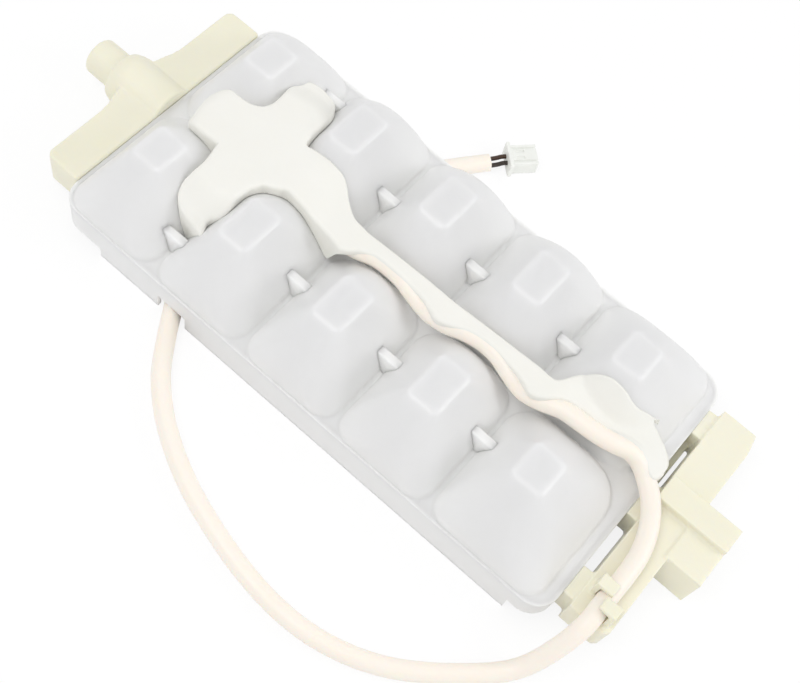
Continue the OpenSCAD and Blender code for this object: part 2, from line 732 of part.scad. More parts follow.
ice_tray();
rear_pivot_bar();
drive_bracket();
sensor_cover();
insulation_pad();
thermistor_capsule();
thermistor_bead();
cable_run();
cable_loop();
wire_brown();
wire_black();
connector_housing();
contact_brown();
contact_black();
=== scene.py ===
import math

import bmesh
import bpy
import numpy as np
from mathutils import Matrix, Vector
from mathutils.geometry import delaunay_2d_cdt


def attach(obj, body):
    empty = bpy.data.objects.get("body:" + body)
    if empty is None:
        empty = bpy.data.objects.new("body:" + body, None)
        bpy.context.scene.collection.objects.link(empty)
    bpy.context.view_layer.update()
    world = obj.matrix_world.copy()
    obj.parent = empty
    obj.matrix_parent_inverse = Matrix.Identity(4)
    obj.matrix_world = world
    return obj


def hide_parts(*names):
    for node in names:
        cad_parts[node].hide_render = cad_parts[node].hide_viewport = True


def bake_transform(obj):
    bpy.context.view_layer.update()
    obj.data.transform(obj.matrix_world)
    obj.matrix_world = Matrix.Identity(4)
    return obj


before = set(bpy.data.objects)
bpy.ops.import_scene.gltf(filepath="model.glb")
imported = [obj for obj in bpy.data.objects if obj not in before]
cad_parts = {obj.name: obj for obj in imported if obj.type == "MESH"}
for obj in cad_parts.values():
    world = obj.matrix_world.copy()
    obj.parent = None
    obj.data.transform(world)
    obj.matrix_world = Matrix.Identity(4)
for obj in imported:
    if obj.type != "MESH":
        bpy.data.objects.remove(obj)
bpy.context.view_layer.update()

# ---- Camera -------------------------------------------------------------------
# It looks down on the tray from the near side and the drive end, so that the rear
# pin points away to the upper left. Place in metres, directions as unit vectors.
camera = bpy.data.objects.new("camera", bpy.data.cameras.new("camera"))
bpy.context.scene.collection.objects.link(camera)
bpy.context.scene.camera = camera
camera.data.lens = 57.42
camera.data.sensor_width = 36
camera.data.sensor_fit = "HORIZONTAL"
camera.data.clip_start = 0.01
view_right = Vector((0.7530582, 0.64030447, 0.15137214))
view_up = Vector((-0.63501799, 0.64709522, 0.42192408))
view_back = Vector((0.17220768, -0.41385742, 0.89390522))
camera.matrix_world = Matrix.Translation((0.077425, -0.165477, 0.34796)) @ Matrix(
    (view_right, view_up, view_back)).transposed().to_4x4()


# ---- Sensor cable ---------------------------------------------------------------
# Two thin wires in a soft cream PVC sleeve, 5.8 mm across. It runs from the
# sensor under the cover's strip, through the clip on the drive bar, and then free,
# in one loop on the surface and under the tray, to its two-way connector.
mm = 0.001
middle_x = -1.65            # the middle cups' place in the part's frame, in mm
rear_x, drive_x = -88.6, 96  # the tray's ends, between which it twists
pivot_z = 9.5               # height of the axis
sleeve_d = 5.8
held_route = [(-49, 0, 17.9), (-47.9, 0, 17.9), (-46.9, 0, 19), (-46, 0, 20.9),
    (-45, 0, 22.8), (-43.4, 0, 24.5), (-41.3, 0, 25.5), (-38.5, -0.1, 26.3),
    (-34.5, -0.2, 26.8), (-29, -0.8, 26.8), (-23, -2.2, 26), (-17, -3.3, 25.4),
    (-11, -2.8, 26.2), (-5.5, -1.4, 27), (0, -1, 27.1), (5.5, -1.4, 27), (11, -2.4, 26.2),
    (17, -3.2, 25.4), (23, -2.8, 25.9), (28, -1.4, 26.8), (34, -0.2, 26.9),
    (40, -0.4, 26.8), (46, -1.8, 25.8), (52, -2.8, 24.8), (58, -1.8, 25.2),
    (64, -0.2, 26.4), (70, 0.2, 26.8), (76, 0.8, 26.7), (81, 2.3, 25.8), (85.5, 4.4, 24.3),
    (89.5, 4.7, 22.3), (94, 2.8, 20.5), (99, -1.6, 19.9), (103, -8, 19.6),
    (105.4, -15.5, 19.3), (106, -23, 19.1), (105.9, -29.5, 19.1), (105.9, -35, 19.1)]
free_route = [(105.9, -35, 19.1), (105.9, -39.8, 19.1), (105.5, -44.2, 17.2),
    (104.4, -49, 13.2), (102.6, -54, 8.4), (100, -58.6, 4.8), (96, -63.4, 3.1),
    (90, -69.2, 2.95), (82, -76, 2.95), (72.5, -82.4, 2.95), (62, -87, 2.95),
    (50, -89.8, 2.95), (37, -90.2, 2.95), (24, -88.6, 2.95), (11, -85.6, 2.95),
    (-1, -81.8, 2.95), (-12, -76.8, 2.95), (-22, -70.6, 2.95), (-30.5, -63.2, 2.95),
    (-37, -54.8, 2.95), (-42.6, -46.4, 2.95), (-48, -38, 2.95), (-52, -28.4, 2.95),
    (-54, -17.6, 2.95), (-53.6, -6.4, 2.95), (-50.4, 4.6, 2.95), (-45, 14.6, 2.95),
    (-38.4, 23.8, 2.95), (-31.6, 32.4, 2.95), (-25, 41.2, 2.95), (-19, 49.4, 2.95),
    (-13.7, 57, 2.95), (-8.4, 64.4, 2.95)]


def placed(points):
    """Tray coordinates in mm, made metres in the part's frame."""
    return (np.array(points, float) + (middle_x, 0, 0)) * mm


def smooth_line(points, spacing):
    """A line that passes through all points in a smooth curve, about evenly spaced."""
    p = np.array(points, float)
    p = np.vstack([2 * p[0] - p[1], p, 2 * p[-1] - p[-2]])
    line = []
    for a, b, c, d in zip(p, p[1:], p[2:], p[3:]):
        count = max(2, round(np.linalg.norm(c - b) / spacing))
        for t in np.arange(count) / count:
            line.append(0.5 * (2 * b + (c - a) * t + (2 * a - 5 * b + 4 * c - d) * t * t
                + (3 * b - a - 3 * c + d) * t ** 3))
    return np.array(line + [p[-2]])


class Value:
    """A node's output, which takes part in sums as a number does."""

    def __init__(self, net, socket):
        self.net, self.socket = net, socket

    def __add__(self, other):
        return self.net.sum("ADD", self, other)

    def __radd__(self, other):
        return self.net.sum("ADD", other, self)

    def __sub__(self, other):
        return self.net.sum("SUBTRACT", self, other)

    def __rsub__(self, other):
        return self.net.sum("SUBTRACT", other, self)

    def __mul__(self, other):
        return self.net.sum("MULTIPLY", self, other)

    def __rmul__(self, other):
        return self.net.sum("MULTIPLY", other, self)

    def __truediv__(self, other):
        return self.net.sum("DIVIDE", self, other)

    def __pow__(self, other):
        return self.net.sum("POWER", self, other)


class Net:
    """The nodes of one material or of one Geometry Nodes group."""

    def __init__(self, tree):
        self.tree = tree

    def node(self, kind, settings=None, inputs=None, output=0):
        """One node: its settings first, then what its sockets get, and one of its outputs."""
        made = self.tree.nodes.new(kind)
        for name, value in (settings or {}).items():
            if name == "stops":
                ramp = made.color_ramp.elements
                while len(ramp) < len(value):
                    ramp.new(0.5)
                for stop, (place, colour) in zip(ramp, value):
                    stop.position, stop.color = place, (*colour, 1)
            else:
                setattr(made, name, value)
        for name, value in (inputs or {}).items():
            for one in value if isinstance(value, list) else [value]:
                self.feed(made.inputs[name], one)
        return Value(self, made.outputs[output])

    def feed(self, socket, value):
        if isinstance(value, Value):
            self.tree.links.new(value.socket, socket)
        else:
            socket.default_value = value

    def sum(self, operation, *values):
        return self.node("ShaderNodeMath", {"operation": operation}, dict(enumerate(values)))

    def blend(self, share, first, second):
        """A colour between two, by a share from 0 to 1."""
        return self.node("ShaderNodeMix", {"data_type": "RGBA"}, {0: share, 6: first, 7: second}, 2)

    def noise(self, scale, detail=2.0):
        """A cloudy pattern from 0 to 1 on the piece's own coordinates."""
        place = self.node("ShaderNodeTexCoord", output="Object")
        return self.node("ShaderNodeTexNoise",
            inputs={"Vector": place, "Scale": scale, "Detail": detail}, output="Fac")


class Finish(Net):
    """A material, with its surface shader's fixed sockets set by name."""

    def __init__(self, name, sockets):
        self.material = bpy.data.materials.new(name)
        self.material.use_nodes = True
        super().__init__(self.material.node_tree)
        self.shader = self.tree.nodes["Principled BSDF"]
        for socket, value in sockets.items():
            self.shader.inputs[socket].default_value = value

    def colour(self, value):
        self.feed(self.shader.inputs["Base Color"], value)

    def rough(self, value):
        self.feed(self.shader.inputs["Roughness"], value)

    def bump(self, height, distance):
        """Fine relief, its height from 0 to 1 and its depth in metres."""
        self.feed(self.shader.inputs["Normal"], self.node("ShaderNodeBump",
            inputs={"Height": height, "Distance": distance, "Strength": 1.0}))


def shade(red, green, blue):
    """A display colour from 0 to 255, made linear."""
    return tuple(((c / 255 + 0.055) / 1.055) ** 2.4 if c > 10 else c / 255 / 12.92
        for c in (red, green, blue)) + (1.0,)


def new_net(name, inputs):
    """A Geometry Nodes group with named inputs. Gives its net and each input's value."""
    tree = bpy.data.node_groups.new(name, "GeometryNodeTree")
    tree.interface.new_socket("Geometry", in_out="INPUT", socket_type="NodeSocketGeometry")
    tree.interface.new_socket("Geometry", in_out="OUTPUT", socket_type="NodeSocketGeometry")
    for label in inputs:
        kind = "NodeSocketMaterial" if label == "Material" else "NodeSocketFloat"
        tree.interface.new_socket(label, in_out="INPUT", socket_type=kind)
    net = Net(tree)
    entry = tree.nodes.new("NodeGroupInput")
    return net, {socket.name: Value(net, socket) for socket in entry.outputs if socket.name}


def end_net(net, geometry, material):
    """Ends a group: instances made real, the material set."""
    geometry = net.node("GeometryNodeRealizeInstances", inputs={"Geometry": geometry})
    geometry = net.node("GeometryNodeSetMaterial", inputs={"Geometry": geometry, "Material": material})
    leave = net.tree.nodes.new("NodeGroupOutput")
    net.tree.links.new(geometry.socket, leave.inputs[0])
    return net.tree


def linked(name, data):
    """A new object of that data, in the scene."""
    made = bpy.data.objects.new(name, data)
    bpy.context.scene.collection.objects.link(made)
    return made


def plain_piece(source, name):
    """A plain mesh object of what an object looks like with its modifiers, in its place."""
    mesh = bpy.data.meshes.new_from_object(
        source.evaluated_get(bpy.context.evaluated_depsgraph_get()))
    mesh.name = name
    bpy.data.objects.remove(source)
    return linked(name, mesh)


def run_net(source, tree, values, name):
    """Runs a group on an object with its named inputs set, and gives back the result."""
    modifier = source.modifiers.new("net", "NODES")
    modifier.node_group = tree
    for item in tree.interface.items_tree:
        if item.name in values:
            modifier[item.identifier] = values[item.name]
    return plain_piece(source, name)


def curve_of(line, drawn_down=0):
    """A curve object of straight steps along a line in metres, thinner by a share at its start."""
    walked = np.append(0, np.cumsum(np.linalg.norm(np.diff(line, axis=0), axis=1)))
    curve = bpy.data.curves.new("route", "CURVE")
    curve.dimensions = "3D"
    spline = curve.splines.new("POLY")
    spline.points.add(len(line) - 1)
    for point, place, distance in zip(spline.points, line, walked):
        point.co = (*place, 1)
        point.radius = 1 - drawn_down * (1 - min(1, distance / (9 * mm)) ** 1.5)
    return linked("route", curve)


def dressed(piece, finish):
    """A piece with that finish alone."""
    piece.data.materials.clear()
    piece.data.materials.append(finish.material)
    return piece


def made_from(form, name):
    """A mesh object of a form, which is let go."""
    mesh = bpy.data.meshes.new(name)
    form.to_mesh(mesh)
    form.free()
    return linked(name, mesh)


def mesh_object(name, points, faces):
    mesh = bpy.data.meshes.new(name)
    mesh.from_pydata([tuple(p) for p in points], [], faces)
    return linked(name, mesh)


def smooth_faces(piece):
    piece.data.polygons.foreach_set("use_smooth", [True] * len(piece.data.polygons))
    return piece


sleeve = Finish("cream_sleeve", {"Roughness": 0.42, "Subsurface Weight": 0.25,
    "Subsurface Radius": (1.0, 0.6, 0.4), "Subsurface Scale": 0.0015})
sleeve.colour(sleeve.blend(sleeve.noise(60, 3), shade(249, 242, 233), shade(248, 238, 226)))
sleeve.rough(0.36 + 0.14 * sleeve.noise(300, 2))
sleeve.bump(sleeve.noise(900, 3), 0.00004)

tube_net, tube_in = new_net("round_tube", ["Radius", "Spacing", "Material"])
along = tube_net.node("GeometryNodeResampleCurve", {"mode": "LENGTH"},
    {"Curve": tube_in["Geometry"], "Length": tube_in["Spacing"]})
profile = tube_net.node("GeometryNodeCurvePrimitiveCircle",
    inputs={"Resolution": 20, "Radius": tube_in["Radius"]})
tube = tube_net.node("GeometryNodeCurveToMesh",
    inputs={"Curve": along, "Profile Curve": profile, "Fill Caps": True})
tube_tree = end_net(tube_net, tube, tube_in["Material"])


def round_tube(name, points, diameter, finish, drawn_down=0):
    """A tube of that diameter along points in tray coordinates."""
    line = smooth_line(placed(points), 0.7 * mm)
    piece = run_net(curve_of(line, drawn_down), tube_tree,
        {"Radius": diameter / 2, "Spacing": 0.9 * mm, "Material": finish.material}, name)
    for face in piece.data.polygons:
        face.use_smooth = len(face.vertices) == 4
    return piece, line


# The sleeve is drawn down where it meets the sensor's capsule
held_cable, _ = round_tube("cable_held", held_route, sleeve_d * mm, sleeve, 0.32)
free_cable, free_line = round_tube("cable_free", free_route, sleeve_d * mm, sleeve)
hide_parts("cable_run")
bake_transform(held_cable)
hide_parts("cable_loop")
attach(free_cable, "tray_side")


# ---- The two wires and their connector --------------------------------------------
# Brown and black insulated wires leave the sleeve's cut end and enter a translucent
# nylon housing of two ways at 2.5 mm, with a rim, side latches and gold contacts.
wire_d, wire_gap = 1.5, 2.5
plug_start = np.array((-4.9, 69.6, 2.95))
plug_turn, sleeve_turn = math.radians(48.5), math.radians(54.4)
plug_len, plug_w, plug_h = 9.8, 7.4, 5.8
plug_rim_w, plug_rim_t, plug_low = 9.6, 1.2, -2.9

plug_ahead = np.array((math.cos(plug_turn), math.sin(plug_turn), 0))
plug_across = np.array((-math.sin(plug_turn), math.cos(plug_turn), 0))
sleeve_ahead = np.array((math.cos(sleeve_turn), math.sin(sleeve_turn), 0))
sleeve_across = np.array((-math.sin(sleeve_turn), math.cos(sleeve_turn), 0))

wires = []
for name, side, colour in (("wire_brown", 1, shade(74, 47, 30)), ("wire_black", -1, shade(38, 34, 32))):
    coat = Finish(name + "_insulation", {"Roughness": 0.35})
    coat.colour(coat.blend(coat.noise(500), colour, shade(60, 45, 36)))
    coat.rough(0.3 + 0.15 * coat.noise(900))
    start = np.array(free_route[-1]) + side * wire_gap / 2 * sleeve_across
    finish = plug_start + side * wire_gap / 2 * plug_across
    wire, _ = round_tube(name + "_piece", [start, start + 1.5 * sleeve_ahead,
        (start + finish) / 2 + 0.2 * sleeve_ahead, finish - 1.5 * plug_ahead, finish],
        wire_d * mm, coat)
    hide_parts(name)
    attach(wire, "tray_side")
    wires.append(wire)


class Blocks:
    """Simple closed shapes in mm, gathered in one mesh to be moulded together or cut away."""

    def __init__(self):
        self.points, self.faces = [], []

    def add(self, points, faces):
        start = len(self.points)
        self.points += [tuple(p) for p in points]
        self.faces += [[start + i for i in face] for face in faces]
        return self

    def plan(self, outline, low, high):
        """A straight solid over an outline that runs anticlockwise."""
        n = len(outline)
        return self.add([(x, y, low) for x, y in outline] + [(x, y, high) for x, y in outline],
            [list(range(n))[::-1], list(range(n, 2 * n))]
            + [[i, (i + 1) % n, (i + 1) % n + n, i + n] for i in range(n)])

    def box(self, low, high):
        return self.plan([(low[0], low[1]), (high[0], low[1]), (high[0], high[1]), (low[0], high[1])],
            low[2], high[2])

    def round(self, places, radii, z, sides=64):
        """A turned solid along X, with its radius at each place."""
        turn = [2 * math.pi * k / sides for k in range(sides)]
        rings = [[(x, r * math.cos(a), z + r * math.sin(a)) for a in turn]
            for x, r in zip(places, radii)]
        last = (len(rings) - 1) * sides
        faces = [[j + i, j + (i + 1) % sides, j + sides + (i + 1) % sides, j + sides + i]
            for j in range(0, last, sides) for i in range(sides)]
        return self.add([p for ring in rings for p in ring],
            faces + [list(range(sides))[::-1], [last + i for i in range(sides)]])

    def piece(self, name):
        made = mesh_object(name, [tuple(c * mm for c in p) for p in self.points], self.faces)
        form = bmesh.new()
        form.from_mesh(made.data)
        bmesh.ops.recalc_face_normals(form, faces=form.faces)
        form.to_mesh(made.data)
        form.free()
        return made


def moulded(name, solid, hollow, step, soft, keep, finish):
    """One piece of plastic: the solid blocks run together, the hollow ones cut away, edges rounded.

    step is the grid in mm, soft the number of rounding passes, keep the share of faces kept."""
    piece = solid.piece(name)
    cutter = hollow.piece("cutter")
    cut = piece.modifiers.new("cut", "BOOLEAN")
    cut.operation, cut.object, cut.solver, cut.use_self = "DIFFERENCE", cutter, "EXACT", True
    even = piece.modifiers.new("even", "REMESH")
    even.mode, even.voxel_size = "VOXEL", step * mm
    rounding = piece.modifiers.new("round", "SMOOTH")
    rounding.factor, rounding.iterations = 0.5, soft
    fewer = piece.modifiers.new("fewer", "DECIMATE")
    fewer.ratio = keep
    piece = plain_piece(piece, name)
    bpy.data.objects.remove(cutter)
    piece.data.materials.append(finish.material)
    return smooth_faces(piece)


nylon = Finish("white_nylon", {"Roughness": 0.4, "Subsurface Weight": 0.35,
    "Subsurface Radius": (1.0, 1.0, 1.0), "Subsurface Scale": 0.001})
nylon.colour(nylon.blend(nylon.noise(300, 3), shade(232, 234, 229), shade(240, 241, 237)))
nylon.rough(0.34 + 0.12 * nylon.noise(700))

housing_solid = Blocks()
housing_solid.box((0, -plug_w / 2, plug_low), (plug_len, plug_w / 2, plug_low + plug_h))
housing_solid.box((0, -plug_rim_w / 2, plug_low), (plug_rim_t, plug_rim_w / 2, plug_low + plug_h + 0.55))
housing_solid.box((plug_len - 0.5, -plug_w / 2 - 0.25, plug_low + 0.4),
    (plug_len, plug_w / 2 + 0.25, plug_low + plug_h - 0.4))
housing_hollow = Blocks()
for side in (-1, 1):
    centre = side * wire_gap / 2
    housing_hollow.box((1.9, centre - 0.85, -0.85), (plug_len + 1, centre + 0.85, 0.85))
    housing_hollow.box((plug_rim_t + 0.2, side * 2.45 - 0.35, plug_low + plug_h - 0.5),
        (plug_len + 1, side * 2.45 + 0.35, plug_low + plug_h + 1))
    housing_hollow.box((2.6, centre - 0.5, plug_low + plug_h - 0.45),
        (5.6, centre + 0.5, plug_low + plug_h + 1))
housing = moulded("connector_piece", housing_solid, housing_hollow, 0.11, 2, 0.3, nylon)
housing.data.transform(Matrix.Translation(placed([plug_start])[0])
    @ Matrix.Rotation(plug_turn, 4, "Z"))
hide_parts("connector_housing")
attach(housing, "tray_side")

gilt = Finish("tinned_contact", {"Metallic": 1.0, "Roughness": 0.3})
gilt.colour(gilt.blend(gilt.noise(800), shade(214, 196, 140), shade(236, 222, 176)))
gilt.rough(0.22 + 0.2 * gilt.noise(1500))
contacts = [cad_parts[name] for name in ("contact_brown", "contact_black")]
for contact in contacts:
    dressed(contact, gilt)

free_length = float(np.linalg.norm(np.diff(free_line, axis=0), axis=1).sum())
free_line[::2].tolist() + [free_line[-1].tolist()]
wires + [housing] + contacts


# ---- Ice tray ---------------------------------------------------------------------
# Ten cups in two rows, upside down, moulded with a flat ledge and splash walls in one
# slightly translucent grey-white polypropylene. The whole tray is about 1.4 mm thick.
cup_pitch, row_pitch = 35, 46.6
cup_len, cup_w, cup_depth = 34, 45.6, 21.2
bottom_len, bottom_w, end_bottom_w = 10.4, 15.4, 12
drive_reach = 5.5           # extra length of the last cups, towards the drive end
flat_sink = 0.12            # how far a flat's middle lies below its lip
bulge_along, bulge_across, end_bulge_across = 1.1, 2, 1.6
outer_r, inner_r, drive_corner_r = 5, 7, 12        # corner radii of a cup's rim
middle_r, bottom_r = 10.7, 1.6                     # and half way down, and at its flat
ledge_z, tray_wall = 15, 1.4
half_w, tray_corner_r = 46.8, 7.5
edge_inset = 1.0            # width of the rounding between a cup's flank and its flat
edge_u = 0.9575             # and the share of the depth where it ends on the flank
foot_h, foot_x_side, foot_y_side = 1.3, 0.35, 0.15
near_notch_x, far_notch_x, notch_half, notch_top = -42.6, -21, 5.5, 6.4
rear_step_x, rear_step_z, drive_step_x, drive_step_z = -72, 4.6, 86, 6.7

polypropylene = Finish("milky_polypropylene", {"Subsurface Weight": 0.6,
    "Subsurface Radius": (1.0, 1.0, 0.95), "Subsurface Scale": 0.006, "IOR": 1.49})
# Painted light: the colour turns lighter low down between the cups, where the translucent plastic passes
# light through two walls that stand close together
painted_light_low = 1 - polypropylene.node("ShaderNodeAttribute", {"attribute_name": "height"}, output=2)
polypropylene.colour(polypropylene.blend(painted_light_low ** 1.3, polypropylene.blend(polypropylene.noise(25, 3),
    shade(238, 238, 238), shade(243, 243, 242)), shade(252, 252, 250)))
polypropylene.rough(0.3 + 0.1 * polypropylene.noise(140, 3))
polypropylene.bump(polypropylene.noise(420, 3), 0.00005)


def rounded(x0, x1, half_y, radii, arc=8, steps_x=10, steps_y=12):
    """A rounded rectangle, anticlockwise, with the same number of points at any size."""
    points = []
    signs = ((1, 1), (-1, 1), (-1, -1), (1, -1))
    centres = [((x1 if sx > 0 else x0) - sx * r, sy * (half_y - r)) for (sx, sy), r in zip(signs, radii)]
    for quarter in range(4):
        radius, centre = radii[quarter], centres[quarter]
        for k in range(arc + 1):
            turn = math.radians(90 * (quarter + k / arc))
            points.append((centre[0] + radius * math.cos(turn), centre[1] + radius * math.sin(turn)))
        steps = steps_x if quarter % 2 == 0 else steps_y
        turn = math.radians(90 * (quarter + 1))
        following, centre = radii[(quarter + 1) % 4], centres[(quarter + 1) % 4]
        start = np.array(points[-1])
        end = np.array((centre[0] + following * math.cos(turn), centre[1] + following * math.sin(turn)))
        points += [tuple(start + (end - start) * k / steps) for k in range(1, steps)]
    return np.array(points)


def cup_level(u, flat, bulge, reach, cable_corner):
    """A cup's ends, half width and corner radii at a share u of its depth, its outer side in +Y."""
    share = 1 - u ** bulge_along
    rear = bottom_len / 2 + (cup_len - bottom_len) / 2 * share
    front = bottom_len / 2 + (cup_len / 2 + reach - bottom_len / 2) * share
    radii = [r * (1 - u) + bottom_r * u + 4 * u * (1 - u) * (max(middle_r, r) - (r + bottom_r) / 2)
        for r in (outer_r, outer_r, inner_r, cable_corner)]
    return np.array([-rear, front, flat / 2 + (cup_w - flat) / 2 * (1 - u ** bulge)] + radii)


def cup_rings(flat, bulge, reach=0, cable_corner=inner_r):
    """A cup's rings from the middle of its flat down to the ledge, as points in mm."""
    def level(u):
        return cup_level(u, flat, bulge, reach, cable_corner)

    levels = []
    top = np.array([-bottom_len / 2, bottom_len / 2, flat / 2, 1.2, 1.2, 1.2, 1.2])
    inwards = np.array([edge_inset, -edge_inset, -edge_inset, 0, 0, 0, 0])
    for share in (0.2, 0.45, 0.7, 0.9, 1.0):
        levels.append(((top + inwards) * share, cup_depth - flat_sink * (1 - share ** 2)))
    for t in (0.25, 0.5, 0.75, 1.0):
        levels.append((top + (1 - t) ** 2 * inwards + t * t * (level(edge_u) - top),
            cup_depth * (1 - t * t * (1 - edge_u))))
    foot_u = foot_h / cup_depth
    for u in np.linspace(edge_u, foot_u, 22)[1:]:
        levels.append((level(u), cup_depth * u))
    foot = level(0) + (-foot_x_side, foot_x_side, foot_y_side, 0.3, 0.3, 0.3, 0.3)
    for t in (0.3, 0.6, 0.85, 1.0):
        levels.append((level(foot_u) + t * t * (foot - level(foot_u)), foot_h * (1 - t) ** 2))
    outlines = [(rounded(one[0], one[1], one[2], one[3:]), z) for one, z in levels]
    return [np.column_stack([line, np.full(len(line), z)]) for line, z in outlines]


def cup_mesh(name, rings, place=(0, 0, 0), mirror=1):
    count = len(rings[0])
    points = np.vstack([[(0, 0, cup_depth - flat_sink)]] + rings) * (1, mirror, 1) * mm
    faces = [[0, 1 + i, 1 + (i + 1) % count] for i in range(count)]
    for j in range(len(rings) - 1):
        a = 1 + j * count
        faces += [[a + i, a + count + i, a + count + (i + 1) % count, a + (i + 1) % count]
            for i in range(count)]
    return mesh_object(name, points + place, faces)


rings = cup_rings(bottom_w, bulge_across)
one_cup = cup_mesh("one_cup", rings)

# One cup is set out on a grid of four by two, turned half round in the second row. The two
# at the rear end get a narrower flat and straighter flanks.
cups_net, cups_in = new_net("rows_of_cups", ["Pitch", "Row Pitch", "Cup Width", "Flat Width",
    "End Flat Width", "Bulge", "End Bulge", "Depth", "Ledge Height", "Middle", "Material"])
grid = cups_net.node("GeometryNodeMeshGrid", inputs={"Size X": cups_in["Pitch"] * 3,
    "Size Y": cups_in["Row Pitch"], "Vertices X": 4, "Vertices Y": 2})
here = cups_net.node("GeometryNodeInputPosition")
here_x, here_y, here_z = (cups_net.node("ShaderNodeSeparateXYZ", inputs={"Vector": here}, output=k)
    for k in range(3))
half_turn = cups_net.node("ShaderNodeCombineXYZ",
    inputs={"Z": cups_net.sum("LESS_THAN", here_y, 0.0) * math.pi})
half_turn = cups_net.node("FunctionNodeEulerToRotation", inputs={"Euler": half_turn})
cups = cups_net.node("GeometryNodeInstanceOnPoints",
    inputs={"Points": grid, "Instance": cups_in["Geometry"], "Rotation": half_turn})
cups = cups_net.node("GeometryNodeRealizeInstances", inputs={"Geometry": cups})
side_y = cups_net.sum("SIGN", here_y) * cups_in["Row Pitch"] / 2
is_end = cups_net.sum("LESS_THAN", here_x, cups_in["Pitch"] * -1.0)
u = cups_net.sum("MINIMUM", here_z / cups_in["Depth"], 1.0)
width = cups_in["Cup Width"] - u ** cups_in["Bulge"] * (cups_in["Cup Width"] - cups_in["Flat Width"])
end_width = cups_in["Cup Width"] - u ** cups_in["End Bulge"] * (
    cups_in["Cup Width"] - cups_in["End Flat Width"])
narrower = is_end * (1.0 - end_width / width)
moved = cups_net.node("ShaderNodeCombineXYZ", inputs={"X": here_x + cups_in["Middle"],
    "Y": side_y + (here_y - side_y) * (1.0 - narrower), "Z": here_z + cups_in["Ledge Height"]})
cups = cups_net.node("GeometryNodeSetPosition", inputs={"Geometry": cups, "Position": moved})
cups_tree = end_net(cups_net, cups, cups_in["Material"])
tray = run_net(one_cup, cups_tree, {"Pitch": cup_pitch * mm, "Row Pitch": row_pitch * mm,
    "Cup Width": cup_w * mm, "Flat Width": bottom_w * mm, "End Flat Width": end_bottom_w * mm,
    "Bulge": bulge_across, "End Bulge": end_bulge_across, "Depth": cup_depth * mm,
    "Ledge Height": ledge_z * mm, "Middle": (middle_x - cup_pitch / 2) * mm,
    "Material": polypropylene.material}, "ice_tray_piece")

# The last cup of each row reaches further, and its corner beside the cable is wider
drive_rings = cup_rings(end_bottom_w, end_bulge_across, drive_reach, drive_corner_r)
drive_cups = [cup_mesh(f"drive_cup_{side}", drive_rings,
    placed([(2 * cup_pitch, side * row_pitch / 2, ledge_z)])[0], side) for side in (-1, 1)]


def inside(points, outline):
    """Which points lie within a closed outline."""
    x, y = np.array(points, float)[:, 0], np.array(points, float)[:, 1]
    found = np.zeros(len(x), bool)
    for (x0, y0), (x1, y1) in zip(outline, np.roll(outline, -1, 0)):
        if y0 != y1:
            found ^= ((y0 > y) != (y1 > y)) & (x < (x1 - x0) * (y - y0) / (y1 - y0) + x0)
    return found


def filled(loops, extra=()):
    """Points in mm and triangles of a flat region between closed loops, with further points in it."""
    points, edges = [], []
    for loop in loops:
        first = len(points)
        points += [Vector(p) for p in loop]
        edges += [(first + i, first + (i + 1) % len(loop)) for i in range(len(loop))]
    points += [Vector(p) for p in extra]
    found, _, triangles, _, _, _ = delaunay_2d_cdt(points, edges, [], 0, 1e-5)
    found = np.array([tuple(p) for p in found])
    middles = np.array([found[list(t)].mean(axis=0) for t in triangles])
    keep = inside(middles, loops[0])
    for loop in loops[1:]:
        keep &= ~inside(middles, loop)
    return found, [list(t) for t, k in zip(triangles, keep) if k]


def tray_loop(inset):
    """The tray's outline, with a point wherever the splash walls' lower edge steps."""
    steps = {rear_step_x, drive_step_x} | set(range(-64, 80, 8)) | {
        x + end * notch_half for x in (near_notch_x, far_notch_x) for end in (-1, 1)}
    corners = rounded(rear_x + inset, drive_x - inset, half_w - inset, [tray_corner_r - inset] * 4,
        10, 2, 12)
    straight = [i for i in range(len(corners)) if abs(corners[i, 0]) < 70 and i]
    loop = [tuple(p) for i, p in enumerate(corners) if i not in straight]
    loop += [(x, side * (half_w - inset)) for x in steps for side in (-1, 1)]
    middle = ((drive_x + rear_x) / 2, 0)
    # sorted round the tray by the place where a ray from the middle meets a wide rectangle
    return np.array(sorted(loop, key=lambda p: math.atan2((p[1] - middle[1]) * 2, p[0] - middle[0])))


holes = [side * rings[-1][:, :2] + (number * cup_pitch, side * row_pitch / 2)
    for number in (-2, -1, 0, 1) for side in (-1, 1)]
holes += [drive_rings[-1][:, :2] * (1, side) + (2 * cup_pitch, side * row_pitch / 2) for side in (-1, 1)]
ledge_points, ledge_faces = filled([tray_loop(0.25)] + holes)
skin_points = [(x, y, ledge_z) for x, y in ledge_points]
skin_faces = ledge_faces
levels = [(0.25, ledge_z), (0.1, ledge_z - 0.04), (0.02, ledge_z - 0.16), (0, ledge_z - 0.4), (0, 9.5),
    (0, drive_step_z), (0, notch_top), (0, rear_step_z), (0, 2), (0, 0.25), (0.15, 0)]
columns = len(tray_loop(0))
for inset, z in levels:
    skin_points += [(x, y, z) for x, y in tray_loop(inset)]
for j in range(len(levels) - 1):
    for i in range(columns):
        k = (i + 1) % columns
        corners = [len(ledge_points) + j * columns + i, len(ledge_points) + (j + 1) * columns + i,
            len(ledge_points) + (j + 1) * columns + k, len(ledge_points) + j * columns + k]
        x, y, z = np.mean([skin_points[c] for c in corners], axis=0)
        notch_x = far_notch_x if y > 0 else near_notch_x
        in_notch = abs(y) > 46 and abs(x - notch_x) < notch_half and z < notch_top
        cut_short = x < rear_step_x and z < rear_step_z or x > drive_step_x and z < drive_step_z
        if not (in_notch or cut_short):
            skin_faces.append(corners)
skin = mesh_object("ledge_skin", placed(skin_points), skin_faces)


